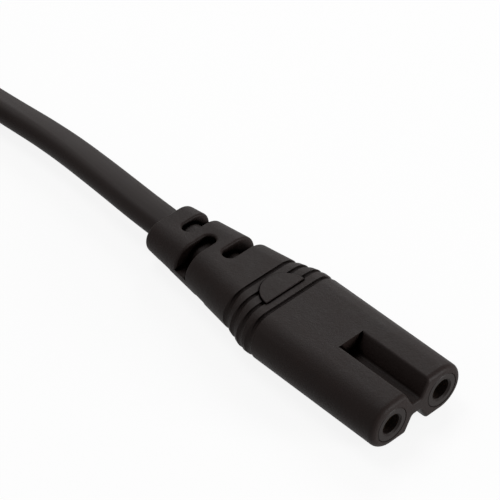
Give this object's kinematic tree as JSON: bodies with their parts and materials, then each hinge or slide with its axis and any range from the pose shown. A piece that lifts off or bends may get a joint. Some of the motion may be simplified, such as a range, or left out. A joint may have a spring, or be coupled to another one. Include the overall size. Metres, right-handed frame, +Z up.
{
  "type": "figure eight power connector",
  "caption": "Figure eight appliance connector moulded on a flat twin cord, with slotted strain relief; the hanked cord ends in a flat plug with round pins.",
  "frame": {"origin": "middle of the connector's underside, below the middle of its length and width", "axes": "+X across the two entry holes, +Y from the mating face towards the cord, +Z up"},
  "size_m": [0.0469, 0.2147, 0.0239],
  "materials": {
    "moulding": "black soft PVC with a fine satin texture",
    "insert": "black rigid plastic",
    "cord": "black soft PVC jacket, satin",
    "contact": "bare brass",
    "strands": "bare copper strands",
    "core_blue": "blue insulation",
    "core_brown": "brown insulation",
    "pin": "nickel-plated brass, satin",
    "sleeve": "black insulating sleeve",
    "bridge": "grey rigid plastic",
    "tie": "black coated tie"
  },
  "bodies": {
    "root": {"connector_body": "moulding", "contact_insert": "insert", "cord_lead": "cord", "cord_hank": "cord", "cord_tail": "cord", "hank_tie": "tie", "contact_left": "contact", "contact_right": "contact", "core_left": "core_blue", "core_right": "core_brown", "conductor_left": "strands", "conductor_right": "strands", "plug_body": "moulding", "plug_bridge": "bridge", "plug_pin_left": "pin", "plug_pin_right": "pin", "plug_sleeve_left": "sleeve", "plug_sleeve_right": "sleeve", "plug_core_left": "core_blue", "plug_core_right": "core_brown", "plug_conductor_left": "strands", "plug_conductor_right": "strands"}
  },
  "joints": []
}
